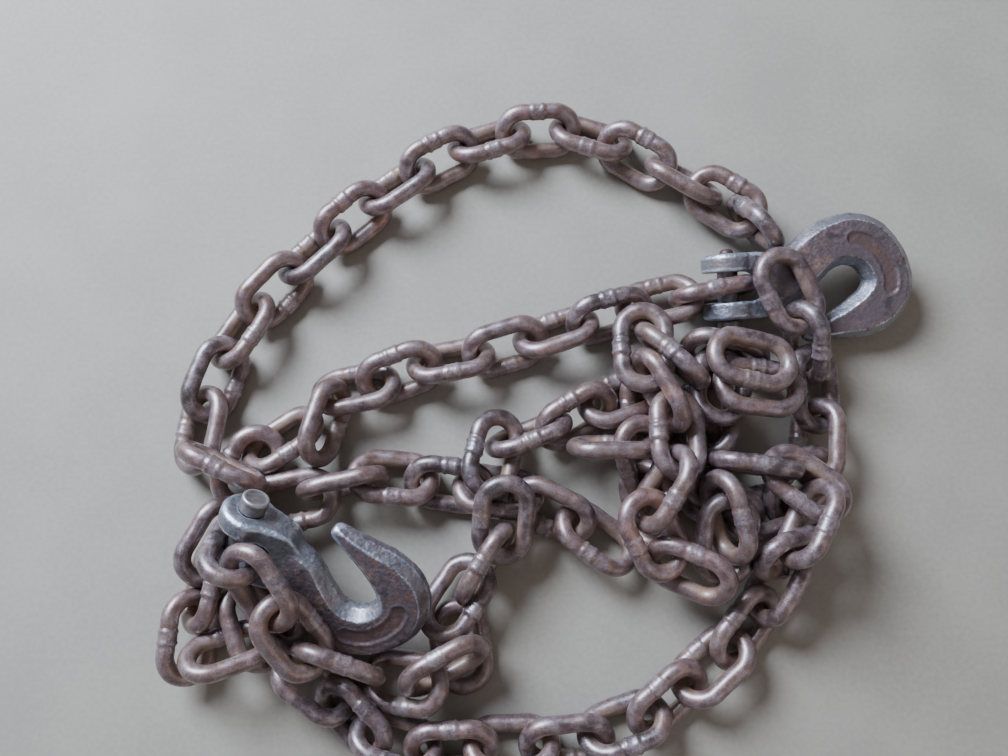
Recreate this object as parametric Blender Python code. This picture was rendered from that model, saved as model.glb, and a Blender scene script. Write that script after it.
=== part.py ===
# A heap of rusty welded-link steel chain, with a clevis hook and its pin at each end.
# It lies loose on a flat floor. Metres, +Z up, origin on the floor under the middle of the heap.
import math

import bmesh
import bpy
import numpy as np
from mathutils import Matrix, Vector

# Sizes below are in millimetres and angles in degrees; MM turns them into metres.
MM = 0.001

# One link: 10 mm wire bent to two half-circle crowns joined by two straight bars.
# CROWN is the radius of a crown's centreline.
CROWN = 12.0
STRAIGHT = 18.0
CROWN_STEPS = 4

# The wire is six-sided here, with its corners a little outside the round wire.
WIRE_SIDES = 6
WIRE_CORNER = 5.2

# Distances between the centrelines of wires: two links that only touch, and two neighbours that
# share a node and are joined crown in crown.
TOUCH = 0.04
APART = 2 * WIRE_CORNER + TOUCH
JOINED = 8.6

# Where each link lies: x, y and height of its middle, heading, roll (right side up is positive)
# and, where it has one, rise. The rows follow the chain from hook 1 to hook 2.
LINK_RUNS = {
    "from hook 1 across the middle": (
        (117, 149, 19, -174, 86),
        (85, 140, 15, -165, -30),
        (57, 134, 14, -168, 50),
        (26, 120, 14, -164, -42),
        (-5, 113, 14, -164, 48),
        (-34, 106, 14, -177, -55),
        (-62, 97, 14, -158, 40),
        (-86, 88, 14, -163, -40),
        (-101, 70, 16, -116, 60),
        (-120, 60, 13, -147, -35),
        (-143, 39, 8, -122, 10),
        (-154, 4, 10, -114, 40),
    ),
    "under hook 2": (
        (-156, -20, 14, -89, -50),
        (-163, -38, 14, -89, 45),
        (-144, -46, 16, 5, 50),
        (-136, -37, 12, 114, -20),
        (-127, -33, 30, -50, 60),
    ),
    "near edge, left to right": (
        (-104, -67, 14, -34, 40),
        (-78, -85, 15, -49, -50),
        (-57, -97, 14, -27, 45),
        (-27, -98, 14, 0, -45),
        (3, -99, 14, -2, 45),
        (34, -96, 14, 4, -45),
        (64, -89, 14, 17, 45),
        (86, -75, 14, 40, -50),
        (110, -59, 14, 38, 45),
        (128, -38, 14, 56, -50),
    ),
    "up into the right pile": (
        (146, -16, 16, 60, 40),
        (147, 0, 26, 31, -35),
        (158, 22, 36, 46, 70),
        (160, 39, 36, 147, 8),
        (132, 41, 38, 177, 80),
        (114, 22, 44, -65, -70),
        (116, 7, 32, -98, 30),
        (103, -4, 38, 164, 25),
        (79, 11, 40, 115, -10),
        (85, 35, 46, 64, 75),
        (92, 61, 44, 89, -20),
        (84, 84, 50, 118, 75),
        (77, 110, 48, 91, 0),
        (94, 102, 48, -40, 80),
    ),
    "coil on the right pile": (
        (112, 89, 30, -107, 15),
        (138, 87, 38, -2, 5),
        (132, 101, 46, 170, 12),
        (124, 106, 28, 168, 60),
        (111, 83, 14, -90, -25),
        (110, 50, 14, -90, 50),
        (120, 23, 14, -32, -35),
        (140, 20, 14, 23, 50),
        (163, 33, 14, 52, -40),
        (174, 63, 14, 83, 50),
        (174, 91, 16, 86, -20),
        (166, 118, 31, 103, 80, 20),
        (157, 144, 38, 120, 5),
    ),
    "far loop, right to left": (
        (151, 176, 24, 124, -80, -25),
        (132, 199, 14, 140, 20),
        (106, 213, 15, 146, -65),
        (81, 229, 15, 146, 52),
        (54, 244, 13, 156, -36),
        (24, 248, 15, 180, 54),
        (-8, 244, 13, -167, -36),
        (-37, 230, 15, -153, 54),
        (-64, 212, 13, -145, -36),
        (-89, 191, 15, -139, 54),
        (-112, 170, 13, -138, -36),
        (-134, 146, 15, -133, 54),
        (-152, 122, 13, -122, -36),
        (-163, 93, 15, -107, 54),
        (-166, 64, 12, -82, -12),
        (-146, 45, 26, -28, 78),
    ),
    "second strand across the middle": (
        (-121, 35, 14, 3, 5),
        (-93, 38, 17, 13, 70),
        (-60, 43, 14, 5, 45),
        (-31, 39, 14, -5, -42),
        (-1, 32, 13, -4, 35),
        (28, 22, 14, -26, -50),
        (55, 10, 14, -24, 35),
    ),
    "turn under the right pile": (
        (78, 24, 18, 91, 62),
        (73, 55, 26, 107, -10),
        (73, 59, 36, 2, 75),
        (83, 75, 18, 95, 10),
        (69, 85, 15, -158, -45),
        (46, 73, 14, -157, 45),
    ),
    "down the middle to hook 2": (
        (16, 63, 20, -154, -65),
        (-5, 47, 26, -99, 10),
        (-3, 21, 36, -86, 35),
        (-9, -5, 34, -120, 75),
        (-23, -23, 22, -121, -25),
        (-24, -47, 8, -80, 5),
        (-33, -58, 22, -144, 75),
        (-51, -67, 18, 174, -15),
        (-79, -58, 30, 164, 75),
        (-103, -45, 38, 117, -10),
        (-117, -23, 48, 133, 75, 10),
        (-132, 1, 50, 118, -45, -33),
    ),
}

# A hook's own axes: x from its pin to its bowl, y towards the tip, z square to both.
# Its body follows these stations: x, y, half width and half thickness.
HOOK_STATIONS = (
    (22.0, -0.4, 12.0, 7.0),
    (32.0, -2.4, 14.4, 8.5),
    (41.5, -9.2, 13.8, 8.5),
    (51.5, -17.5, 13.6, 8.5),
    (60.5, -21.7, 14.0, 8.5),
    (70.0, -22.6, 14.8, 8.5),
    (79.0, -19.3, 14.6, 8.5),
    (86.5, -11.0, 13.9, 8.5),
    (90.5, -0.2, 13.8, 8.5),
    (89.0, 9.0, 14.0, 8.5),
    (83.0, 16.5, 13.6, 8.3),
    (73.5, 21.5, 12.0, 7.8),
    (62.0, 25.0, 8.8, 7.0),
    (52.0, 27.6, 6.2, 5.8),
    (44.0, 29.8, 4.4, 4.6),
    (41.2, 30.6, 2.4, 2.8),
)
CHAMFER_IN = 4.6
CHAMFER_UP = 6.0
LARGEST_SHARE_IN = 0.45
LARGEST_SHARE_UP = 0.7

# The fork that holds the pin: two ears beside a jaw, running into the body behind it.
EAR_RADIUS = 14.5
EAR_CHAMFER = 1.6
EAR_OPENS_AT = 50.0
EAR_STEPS = 13
EAR_STRAIGHT = 12.0
FORK_HALF_WIDTH = 18.5
JAW = 17.0
JAW_STEPS = 8
CROTCH = 19.0
CHEEK_BEND = 25.0
CHEEK_BEND_HALF_WIDTH = 16.9
FORK_END = 32.0
FORK_END_HALF_WIDTH = 11.0
FORK_END_HALF_THICKNESS = 6.0
PIN_HOLE = 12.3
SPARE = 5.0

# Rods that fill the fork where the links are kept clear of it. A rim rod and an edge rod have
# these radii. A cheek's core and its outer edge bend at these points: x, y and z.
RIM_ROD = 2.5
EDGE_ROD = 2.0
SPOKES = (0.0, 45.0, 90.0, 135.0)
CHEEK_CORE = ((0.0, 13.5, 5.5), (16.0, 13.5, 4.6), (27.0, 10.6, 3.2))
CHEEK_EDGE = ((8.7, 16.5, 9.1), (16.0, 16.4, 8.2), (24.5, 14.9, 7.0), (31.0, 12.0, 6.1))
# Upright rods at the crotch: x, y, half length and radius, one beside the jaw and one behind it.
BESIDE_JAW = (19.5, 8.5, 8.0, 4.0)
BEHIND_JAW = (23.5, 0.0, 7.0, 4.5)

# The pin, from its peened end to its head, along the fork's y axis.
PIN = 11.5
PEENED_END = 7.5
PIN_HEAD = 14.0
PIN_HEAD_LENGTH = 8.0
PEENED_FROM = -21.5
SHAFT_FROM = -19.0
HEAD_GAP = 0.3
HEAD_FROM = FORK_HALF_WIDTH + HEAD_GAP
PIN_CHAMFER = 1.0
ROUND_SIDES = 16
# Rods that fill the pin: start and end along y, and radius.
SHAFT_ROD = (-19.5, 18.8, 5.45)
HEAD_ROD = (21.8, 20.8, 7.0)

# Where each hook lies: its pin's middle, then heading, rise and roll.
HOOK_PLACES = {
    "hook_1": ((127, 148, 18.5), (4, 0, -15)),
    "hook_2": ((-135, 8, 41), (-25, -7, 146)),
}

# How the links are let down: passes that part what overlaps and draw neighbours together.
PASSES = 600
PULL_UNTIL = 0.6
PULL = 0.05
SINK = 0.25
DRAW = 0.7
REACH = 54.0
HOOK_REACH = 100.0
HOOK_GAP = 0.5
SQUARE_EDGE = 0.5
TURNING_RADIUS = 16.0
LARGEST_MOVE = 2.0
LARGEST_TURN = 0.08


def axes_of(heading, rise, roll):
    # Columns: along the piece, across it to the right, and square to both.
    heading, rise, roll = np.radians((heading, rise, roll))
    along = np.array((
        np.cos(rise) * np.cos(heading),
        np.cos(rise) * np.sin(heading),
        np.sin(rise),
    ))
    right = np.array((np.sin(heading), -np.cos(heading), 0.0))
    up = np.cross(right, along)
    across = np.cos(roll) * right + np.sin(roll) * up
    return np.stack((along, across, np.cross(along, across)), axis=1)


def small_turns(vectors):
    # Rotation matrices for an array of rotation vectors.
    angles = np.linalg.norm(vectors, axis=1)
    x, y, z = (vectors / np.maximum(angles, 1e-12)[:, None]).T
    zero = np.zeros_like(x)
    cross = np.stack((zero, -z, y, z, zero, -x, -y, x, zero), axis=1).reshape(-1, 3, 3)
    sine = np.sin(angles)[:, None, None]
    cosine = np.cos(angles)[:, None, None]
    return np.eye(3) + sine * cross + (1.0 - cosine) * (cross @ cross)


def link_centreline():
    # The corners of a link's centreline in its own plane, crown after crown.
    angles = np.linspace(-math.pi / 2, math.pi / 2, CROWN_STEPS + 1)
    crown = np.stack((
        STRAIGHT / 2 + CROWN * np.cos(angles),
        CROWN * np.sin(angles),
        np.zeros_like(angles),
    ), axis=1)
    return np.concatenate((crown, crown * (-1.0, -1.0, 1.0)))


def nearest_points(start_a, end_a, start_b, end_b):
    # The nearest points of two arrays of segments, and their distances.
    a = end_a - start_a
    b = end_b - start_b
    offset = start_a - start_b
    aa = (a * a).sum(-1)
    bb = (b * b).sum(-1)
    ab = (a * b).sum(-1)
    a_offset = (a * offset).sum(-1)
    b_offset = (b * offset).sum(-1)
    spread = aa * bb - ab * ab
    skew = spread > 1e-9
    s = np.where(skew, (ab * b_offset - a_offset * bb) / np.where(skew, spread, 1.0), 0.0)
    s = np.clip(s, 0.0, 1.0)
    t = (ab * s + b_offset) / np.maximum(bb, 1e-9)
    clipped = np.clip(t, 0.0, 1.0)
    s = np.where(t != clipped, np.clip((clipped * ab - a_offset) / np.maximum(aa, 1e-9), 0.0, 1.0), s)
    on_a = start_a + a * s[..., None]
    on_b = start_b + b * clipped[..., None]
    return on_a, on_b, np.linalg.norm(on_a - on_b, axis=-1)


def nearest_of_rows(on_a, on_b, distances):
    # Of each row's candidates, the pair of points that lie closest.
    rows = np.arange(len(distances))
    flat = distances.reshape(len(distances), -1)
    best = flat.argmin(axis=1)
    on_a = on_a.reshape(len(distances), -1, 3)[rows, best]
    on_b = on_b.reshape(len(distances), -1, 3)[rows, best]
    return on_a, on_b, flat[rows, best]


def body_rods():
    # The hook's body as three lanes of rods from station to station.
    rods = []
    for before, after in zip(HOOK_STATIONS[1:-1], HOOK_STATIONS[2:]):
        radius = min(before[3], after[3], before[2], after[2])
        run = Vector((after[0] - before[0], after[1] - before[1])).normalized()
        for lane in (-1.0, 0.0, 1.0):
            ends = []
            for x, y, half_width, _ in (before, after):
                shift = lane * (half_width - radius)
                ends.append((x - run.y * shift, y + run.x * shift, 0.0))
            rods.append((ends[0], ends[1], radius + SQUARE_EDGE))
    return rods


def rods_along(bends, side, up, radius):
    # Rods from bend to bend, on one side of the fork and on one face of it.
    places = [(x, side * y, up * z) for x, y, z in bends]
    return [(start, end, radius) for start, end in zip(places[:-1], places[1:])]


def upright_rod(x, y, half_length, radius):
    return ((x, y, -half_length), (x, y, half_length), radius)


def fork_rods():
    # The ears as spokes inside a rim of short rods, the cheeks behind them, and the crotch.
    rods = []
    half_ear = (FORK_HALF_WIDTH - JAW / 2) / 2
    inner, outer = JAW / 2 + RIM_ROD, FORK_HALF_WIDTH - RIM_ROD
    x, y, half_length, radius = BESIDE_JAW
    for side in (-1.0, 1.0):
        middle = side * (FORK_HALF_WIDTH - half_ear)
        for angle in SPOKES:
            far_x = (EAR_RADIUS - half_ear) * math.cos(math.radians(angle))
            far_z = (EAR_RADIUS - half_ear) * math.sin(math.radians(angle))
            rods.append(((-far_x, middle, -far_z), (far_x, middle, far_z), half_ear))
        for rim_x, rim_z in arc(0.0, EAR_RADIUS - RIM_ROD, 60.0, 300.0, 20):
            rods.append(((rim_x, side * inner, rim_z), (rim_x, side * outer, rim_z), RIM_ROD))
        for up in (-1.0, 1.0):
            rods += rods_along(CHEEK_CORE, side, up, half_ear)
            rods += rods_along(CHEEK_EDGE, side, up, EDGE_ROD)
        rods.append(upright_rod(x, side * y, half_length, radius))
    rods.append(upright_rod(*BEHIND_JAW))
    return rods


def pin_rods():
    return [((0.0, start, 0.0), (0.0, end, 0.0), radius) for start, end, radius in (SHAFT_ROD, HEAD_ROD)]


def placed_rods(middle, turn):
    # The space that one hook and its pin take up where they lie: rod starts, ends and radii.
    starts, ends, radii = zip(*(body_rods() + fork_rods() + pin_rods()))
    axes = axes_of(*turn)
    return middle + np.array(starts) @ axes.T, middle + np.array(ends) @ axes.T, np.array(radii)


def settled_links():
    # Lets the links down from their rough places until wires touch but do not cross.
    rows = [row for run in LINK_RUNS.values() for row in run]
    wanted = np.array([row[:3] for row in rows], float)
    wanted_axes = np.array([axes_of(row[3], row[5] if len(row) > 5 else 0.0, row[4]) for row in rows])
    centres = wanted.copy()
    axes = wanted_axes.copy()
    corners = link_centreline()
    hooks = [placed_rods(*place) for place in HOOK_PLACES.values()]
    count = len(rows)
    inertia = TURNING_RADIUS ** 2

    for step in range(PASSES):
        moves = np.zeros((count, 3))
        turns = np.zeros((count, 3))
        hits = np.zeros(count)

        def push(which, point, direction, amount):
            arm = np.cross(point - centres[which], direction)
            np.add.at(moves, which, amount[:, None] * direction)
            np.add.at(turns, which, amount[:, None] * arm / inertia)
            np.add.at(hits, which, 1.0)

        def ease(which, point, direction):
            arm = np.cross(point - centres[which], direction)
            return 1.0 + (arm ** 2).sum(1) / inertia

        starts = centres[:, None] + np.einsum("nij,pj->npi", axes, corners)
        ends = np.roll(starts, -1, axis=1)

        # Link against link, and each link drawn to the next one along the chain.
        spans = np.linalg.norm(centres[:, None] - centres[None], axis=-1)
        first, second = np.where(np.triu(spans < REACH, 1))
        on_a, on_b, distance = nearest_of_rows(*nearest_points(
            starts[first][:, :, None], ends[first][:, :, None],
            starts[second][:, None], ends[second][:, None],
        ))
        next_along = second == first + 1
        need = np.where(next_along & (first % 2 == 0), JOINED, APART)
        error = need - distance
        acting = (error > 0.0) | next_along
        first, second, on_a, on_b = first[acting], second[acting], on_a[acting], on_b[acting]
        error = np.where(error > 0.0, error, DRAW * error)[acting]
        direction = (on_a - on_b) / np.maximum(distance[acting], 1e-6)[:, None]
        error /= ease(first, on_a, direction) + ease(second, on_b, direction)
        push(first, on_a, direction, error)
        push(second, on_b, direction, -error)

        # Link against the two hooks and their pins.
        for rod_starts, rod_ends, rod_radii in hooks:
            spans = np.linalg.norm(centres - rod_starts.mean(axis=0), axis=1)
            near = np.where(spans < HOOK_REACH)[0]
            on_a, on_b, distance = nearest_points(
                starts[near][:, :, None], ends[near][:, :, None], rod_starts[None, None], rod_ends[None, None],
            )
            distance = distance - rod_radii - WIRE_CORNER - HOOK_GAP
            on_a, on_b, distance = nearest_of_rows(on_a, on_b, distance)
            hit = distance < 0.0
            near, on_a, on_b, distance = near[hit], on_a[hit], on_b[hit], distance[hit]
            direction = on_a - on_b
            direction /= np.maximum(np.linalg.norm(direction, axis=1), 1e-6)[:, None]
            push(near, on_a, direction, -distance / ease(near, on_a, direction))

        # The two lowest corners of each link against the floor.
        heights = starts[:, :, 2] - WIRE_CORNER
        for corner in np.argpartition(heights, 1, axis=1)[:, :2].T:
            low = np.where(heights[np.arange(count), corner] < 0.0)[0]
            point = starts[low, corner[low]]
            upward = np.tile((0.0, 0.0, 1.0), (len(low), 1))
            amount = -heights[low, corner[low]] / ease(low, point, upward)
            push(low, point, upward, amount)

        # A pull to the rough place and pose, and a gentle fall, both fading out.
        share = 1.0 / np.maximum(hits / 2, 1.0)[:, None]
        moves *= share
        turns *= share
        fade = max(0.0, 1.0 - step / PASSES / PULL_UNTIL)
        moves[:, :2] += PULL * fade * (wanted - centres)[:, :2]
        moves[:, 2] -= SINK * fade
        lag = np.einsum("nij,nkj->nik", wanted_axes, axes)
        turns[:, 0] += PULL * fade * (lag[:, 2, 1] - lag[:, 1, 2]) / 2
        turns[:, 1] += PULL * fade * (lag[:, 0, 2] - lag[:, 2, 0]) / 2
        turns[:, 2] += PULL * fade * (lag[:, 1, 0] - lag[:, 0, 1]) / 2
        centres += np.clip(moves, -LARGEST_MOVE, LARGEST_MOVE)
        size = np.linalg.norm(turns, axis=1)
        turns *= np.minimum(1.0, LARGEST_TURN / np.maximum(size, 1e-9))[:, None]
        axes = small_turns(turns) @ axes
    return centres, axes


def matrix_of(middle, axes):
    # A place in metres from a middle in millimetres and the axes as columns.
    matrix = Matrix(axes.tolist()).to_4x4()
    matrix.translation = Vector([value * MM for value in middle])
    return matrix


def steel(name, colour, roughness, metallic):
    material = bpy.data.materials.new(name)
    material.use_nodes = True
    shader = material.node_tree.nodes["Principled BSDF"]
    shader.inputs["Base Color"].default_value = (*colour, 1.0)
    shader.inputs["Roughness"].default_value = roughness
    shader.inputs["Metallic"].default_value = metallic
    material.diffuse_color = (*colour, 1.0)
    return material


def mesh_from(bm, name):
    # The finished shape, scaled from millimetres to metres.
    bmesh.ops.scale(bm, vec=(MM, MM, MM), verts=bm.verts)
    bmesh.ops.recalc_face_normals(bm, faces=bm.faces)
    mesh = bpy.data.meshes.new(name)
    bm.to_mesh(mesh)
    bm.free()
    return mesh


def add_object(name, mesh, matrix=None, material=None):
    obj = bpy.data.objects.new(name, mesh)
    bpy.context.collection.objects.link(obj)
    if matrix is not None:
        obj.matrix_world = matrix
    if material is not None:
        mesh.materials.clear()
        mesh.materials.append(material)
        mesh.shade_smooth()
        mesh.set_sharp_from_angle(angle=math.radians(35.0))
    return obj


def combine(target, other, operation):
    # Applies one exact Boolean and removes the second object.
    modifier = target.modifiers.new(operation.title(), "BOOLEAN")
    modifier.operation = operation
    modifier.solver = "EXACT"
    modifier.object = other
    bpy.context.view_layer.update()
    result = bpy.data.meshes.new_from_object(target.evaluated_get(bpy.context.evaluated_depsgraph_get()))
    target.modifiers.clear()
    target.data = result
    bpy.data.objects.remove(other)
    return target


def link_mesh():
    # A ring of wire: crown, bar, crown, and the last bar bridged back to the start.
    bm = bmesh.new()
    ring = bmesh.ops.create_circle(bm, radius=WIRE_CORNER, segments=WIRE_SIDES)["verts"]
    onto_bar = Matrix.Translation((STRAIGHT / 2, -CROWN, 0.0)) @ Matrix.Rotation(math.pi / 2, 4, "Y")
    bmesh.ops.transform(bm, matrix=onto_bar, verts=ring)
    first_edges = bm.edges[:]
    loop = first_edges
    for side in (1.0, -1.0):
        if side < 0.0:
            drawn = bmesh.ops.extrude_edge_only(bm, edges=loop)["geom"]
            ring = [item for item in drawn if isinstance(item, bmesh.types.BMVert)]
            bmesh.ops.translate(bm, vec=(-STRAIGHT, 0.0, 0.0), verts=ring)
            loop = [item for item in drawn if isinstance(item, bmesh.types.BMEdge) and item.is_boundary]
        turned = bmesh.ops.spin(
            bm, geom=loop, cent=(side * STRAIGHT / 2, 0.0, 0.0), axis=(0.0, 0.0, 1.0),
            dvec=(0.0, 0.0, 0.0), angle=math.pi, steps=CROWN_STEPS,
        )["geom_last"]
        loop = [item for item in turned if isinstance(item, bmesh.types.BMEdge)]
    bmesh.ops.bridge_loops(bm, edges=first_edges + loop)
    return mesh_from(bm, "link")


def body_ring(bm, place, run):
    # One station of the hook's body: an eight-sided section with wide chamfers.
    x, y, half_width, half_thick = place
    chamfer_in = min(CHAMFER_IN, LARGEST_SHARE_IN * half_width)
    chamfer_up = min(CHAMFER_UP, LARGEST_SHARE_UP * half_thick)
    quarter = (
        (half_width, half_thick - chamfer_up),
        (half_width - chamfer_in, half_thick),
    )
    section = list(quarter)
    section += [(-across, up) for across, up in reversed(quarter)]
    section += [(-across, -up) for across, up in quarter]
    section += [(across, -up) for across, up in reversed(quarter)]
    verts = [bm.verts.new((x - run.y * across, y + run.x * across, up)) for across, up in section]
    return [bm.edges.new((verts[i], verts[(i + 1) % len(verts)])) for i in range(len(verts))], verts


def hook_body():
    bm = bmesh.new()
    loops = []
    for i, place in enumerate(HOOK_STATIONS):
        before = HOOK_STATIONS[max(i - 1, 0)]
        after = HOOK_STATIONS[min(i + 1, len(HOOK_STATIONS) - 1)]
        run = Vector((after[0] - before[0], after[1] - before[1])).normalized()
        loops.append(body_ring(bm, place, run))
    for (edges, _), (more_edges, _) in zip(loops[:-1], loops[1:]):
        bmesh.ops.bridge_loops(bm, edges=edges + more_edges)
    bm.faces.new(loops[0][1])
    bm.faces.new(loops[-1][1])
    return add_object("hook body", mesh_from(bm, "hook body"))


def prism(name, outline, half_depth, upright, chamfer=0.0):
    # An outline in x and y raised along z, or one in x and z drawn along y, with chamfered ends.
    half_depth -= chamfer
    bm = bmesh.new()
    if upright:
        verts = [bm.verts.new((x, y, -half_depth)) for x, y in outline]
    else:
        verts = [bm.verts.new((x, -half_depth, z)) for x, z in outline]
    face = bm.faces.new(verts)
    drawn = bmesh.ops.extrude_face_region(bm, geom=[face])["geom"]
    moved = [item for item in drawn if isinstance(item, bmesh.types.BMVert)]
    depth = (0.0, 0.0, 2 * half_depth) if upright else (0.0, 2 * half_depth, 0.0)
    bmesh.ops.translate(bm, vec=depth, verts=moved)
    if chamfer:
        bmesh.ops.recalc_face_normals(bm, faces=bm.faces)
        ends = [end for end in bm.faces if len(end.verts) == len(outline)]
        bmesh.ops.inset_individual(bm, faces=ends, thickness=chamfer, depth=chamfer)
    return add_object(name, mesh_from(bm, name))


def arc(centre_x, radius, start, end, steps):
    angles = [math.radians(start + (end - start) * i / steps) for i in range(steps + 1)]
    return [(centre_x + radius * math.cos(a), radius * math.sin(a)) for a in angles]


def fork():
    # The fork is where a plan and a side outline meet, less the jaw and the pin's hole.
    beyond = -EAR_RADIUS - SPARE
    near_side = [
        (beyond, FORK_HALF_WIDTH + 1.0),
        (EAR_STRAIGHT, FORK_HALF_WIDTH + 1.0),
        (CHEEK_BEND, CHEEK_BEND_HALF_WIDTH),
        (FORK_END, FORK_END_HALF_WIDTH),
    ]
    plan = near_side + [(x, -y) for x, y in reversed(near_side)]
    side = arc(0.0, EAR_RADIUS, EAR_OPENS_AT, 360.0 - EAR_OPENS_AT, EAR_STEPS)
    side += [(FORK_END, -FORK_END_HALF_THICKNESS), (FORK_END, FORK_END_HALF_THICKNESS)]
    jaw = arc(CROTCH - JAW / 2, JAW / 2, -90.0, 90.0, JAW_STEPS)
    jaw += [(beyond, JAW / 2), (beyond, -JAW / 2)]
    # The hole's flats, not its corners, touch the circle of its size.
    hole = arc(0.0, PIN_HOLE / 2 / math.cos(math.pi / ROUND_SIDES), 0.0, 360.0, ROUND_SIDES)[:-1]
    body = prism("fork", plan, EAR_RADIUS + SPARE, True)
    combine(body, prism("side outline", side, FORK_HALF_WIDTH, False, EAR_CHAMFER), "INTERSECT")
    combine(body, prism("jaw", jaw, EAR_RADIUS + SPARE, True), "DIFFERENCE")
    return combine(body, prism("pin hole", hole, FORK_HALF_WIDTH + SPARE, False), "DIFFERENCE")


def hook_mesh():
    whole = combine(fork(), hook_body(), "UNION")
    mesh = whole.data
    bpy.data.objects.remove(whole)
    return mesh


def pin_mesh():
    # A profile of radius and distance along y, turned about the y axis.
    tail = PEENED_FROM
    top = HEAD_FROM + PIN_HEAD_LENGTH
    profile = [
        (0.0, tail),
        (PEENED_END / 2 - PIN_CHAMFER, tail),
        (PEENED_END / 2, tail + PIN_CHAMFER),
        (PEENED_END / 2, SHAFT_FROM),
        (PIN / 2, SHAFT_FROM),
        (PIN / 2, HEAD_FROM),
        (PIN_HEAD / 2, HEAD_FROM),
        (PIN_HEAD / 2, top - PIN_CHAMFER),
        (PIN_HEAD / 2 - PIN_CHAMFER, top),
        (0.0, top),
    ]
    bm = bmesh.new()
    verts = [bm.verts.new((radius, y, 0.0)) for radius, y in profile]
    edges = [bm.edges.new(pair) for pair in zip(verts[:-1], verts[1:])]
    bmesh.ops.spin(
        bm, geom=verts + edges, cent=(0.0, 0.0, 0.0), axis=(0.0, 1.0, 0.0),
        dvec=(0.0, 0.0, 0.0), angle=2 * math.pi, steps=ROUND_SIDES,
    )
    bmesh.ops.remove_doubles(bm, verts=bm.verts, dist=0.001)
    return mesh_from(bm, "pin")


def add_links(material):
    # Links lie in pairs that share a node, and the last one has a node to itself.
    one = link_mesh()
    centres, axes = settled_links()
    places = [matrix_of(middle, turn) for middle, turn in zip(centres, axes)]
    made = []
    for first in range(0, len(places), 2):
        second = first + 1
        if second < len(places):
            pair = add_object(f"links_{first + 1:02d}_{second + 1:02d}", one.copy(), places[first])
            other = add_object("other link", one.copy(), places[second])
            combine(pair, other, "UNION")
        else:
            pair = add_object(f"link_{first + 1:02d}", one.copy(), places[first])
        pair.data.name = pair.name
        pair.data.materials.clear()
        pair.data.materials.append(material)
        pair.data.shade_smooth()
        pair.data.set_sharp_from_angle(angle=math.radians(35.0))
        made.append(pair)
    return made


def add_hooks(hook_material, pin_material):
    hook = hook_mesh()
    pin = pin_mesh()
    made = []
    for name, (middle, turn) in HOOK_PLACES.items():
        place = matrix_of(middle, axes_of(*turn))
        made.append(add_object(name, hook, place, hook_material))
        made.append(add_object(name + "_pin", pin, place, pin_material))
    return made


def stand_on_origin(objects):
    # Moves the heap so that the middle of its box lies over the origin and its lowest point on z = 0.
    bpy.context.view_layer.update()
    points = np.array([obj.matrix_world @ vert.co for obj in objects for vert in obj.data.vertices])
    low, high = points.min(axis=0), points.max(axis=0)
    shift = Vector((-(low[0] + high[0]) / 2, -(low[1] + high[1]) / 2, -low[2]))
    for obj in objects:
        obj.matrix_world = Matrix.Translation(shift) @ obj.matrix_world


def main():
    for obj in list(bpy.data.objects):
        bpy.data.objects.remove(obj)
    rusty_wire = steel("rusty wire", (0.23, 0.15, 0.13), 0.55, 0.6)
    forged_steel = steel("forged steel", (0.20, 0.17, 0.18), 0.45, 0.7)
    worn_steel = steel("worn steel", (0.42, 0.40, 0.41), 0.4, 0.8)
    made = add_links(rusty_wire) + add_hooks(forged_steel, worn_steel)
    stand_on_origin(made)


main()
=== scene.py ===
import math
import random

import bmesh
import bpy
import numpy as np
from mathutils import Matrix, Vector, noise


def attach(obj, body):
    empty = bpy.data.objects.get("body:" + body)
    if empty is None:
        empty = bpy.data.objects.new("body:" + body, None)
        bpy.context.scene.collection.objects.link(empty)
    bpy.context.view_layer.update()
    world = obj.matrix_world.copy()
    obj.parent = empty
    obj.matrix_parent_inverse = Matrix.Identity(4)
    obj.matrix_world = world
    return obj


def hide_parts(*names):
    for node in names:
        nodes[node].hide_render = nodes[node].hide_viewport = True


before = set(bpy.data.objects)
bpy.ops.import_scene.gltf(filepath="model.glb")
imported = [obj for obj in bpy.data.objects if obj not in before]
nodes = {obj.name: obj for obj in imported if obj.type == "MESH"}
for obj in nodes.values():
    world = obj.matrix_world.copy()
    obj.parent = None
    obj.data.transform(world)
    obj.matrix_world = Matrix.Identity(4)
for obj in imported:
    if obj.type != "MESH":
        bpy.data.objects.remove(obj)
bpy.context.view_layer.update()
mm = 0.001  # sizes below are in millimetres
print("frame loaded:", len(nodes), "nodes")


# Shader maths: a socket that can be added, multiplied and so on in plain expressions.

class Value:
    def __init__(self, tree, socket):
        self.tree = tree
        self.socket = socket

    def maths(self, operation, other, swap=False):
        first, second = (other, self) if swap else (self, other)
        return self.tree.make("ShaderNodeMath", {"operation": operation}, {0: first, 1: second})

    def __add__(self, other): return self.maths("ADD", other)
    def __radd__(self, other): return self.maths("ADD", other, True)
    def __sub__(self, other): return self.maths("SUBTRACT", other)
    def __rsub__(self, other): return self.maths("SUBTRACT", other, True)
    def __mul__(self, other): return self.maths("MULTIPLY", other)
    def __rmul__(self, other): return self.maths("MULTIPLY", other, True)

    def clamp(self):
        return self.tree.make("ShaderNodeClamp", {}, {0: self, 1: 0.0, 2: 1.0})

    def between(self, low, high):
        # 0 below low, 1 above high, smooth in between
        return self.tree.make(
            "ShaderNodeMapRange", {"interpolation_type": "SMOOTHSTEP"},
            {0: self, 1: low, 2: high, 3: 0.0, 4: 1.0},
        )


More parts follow.
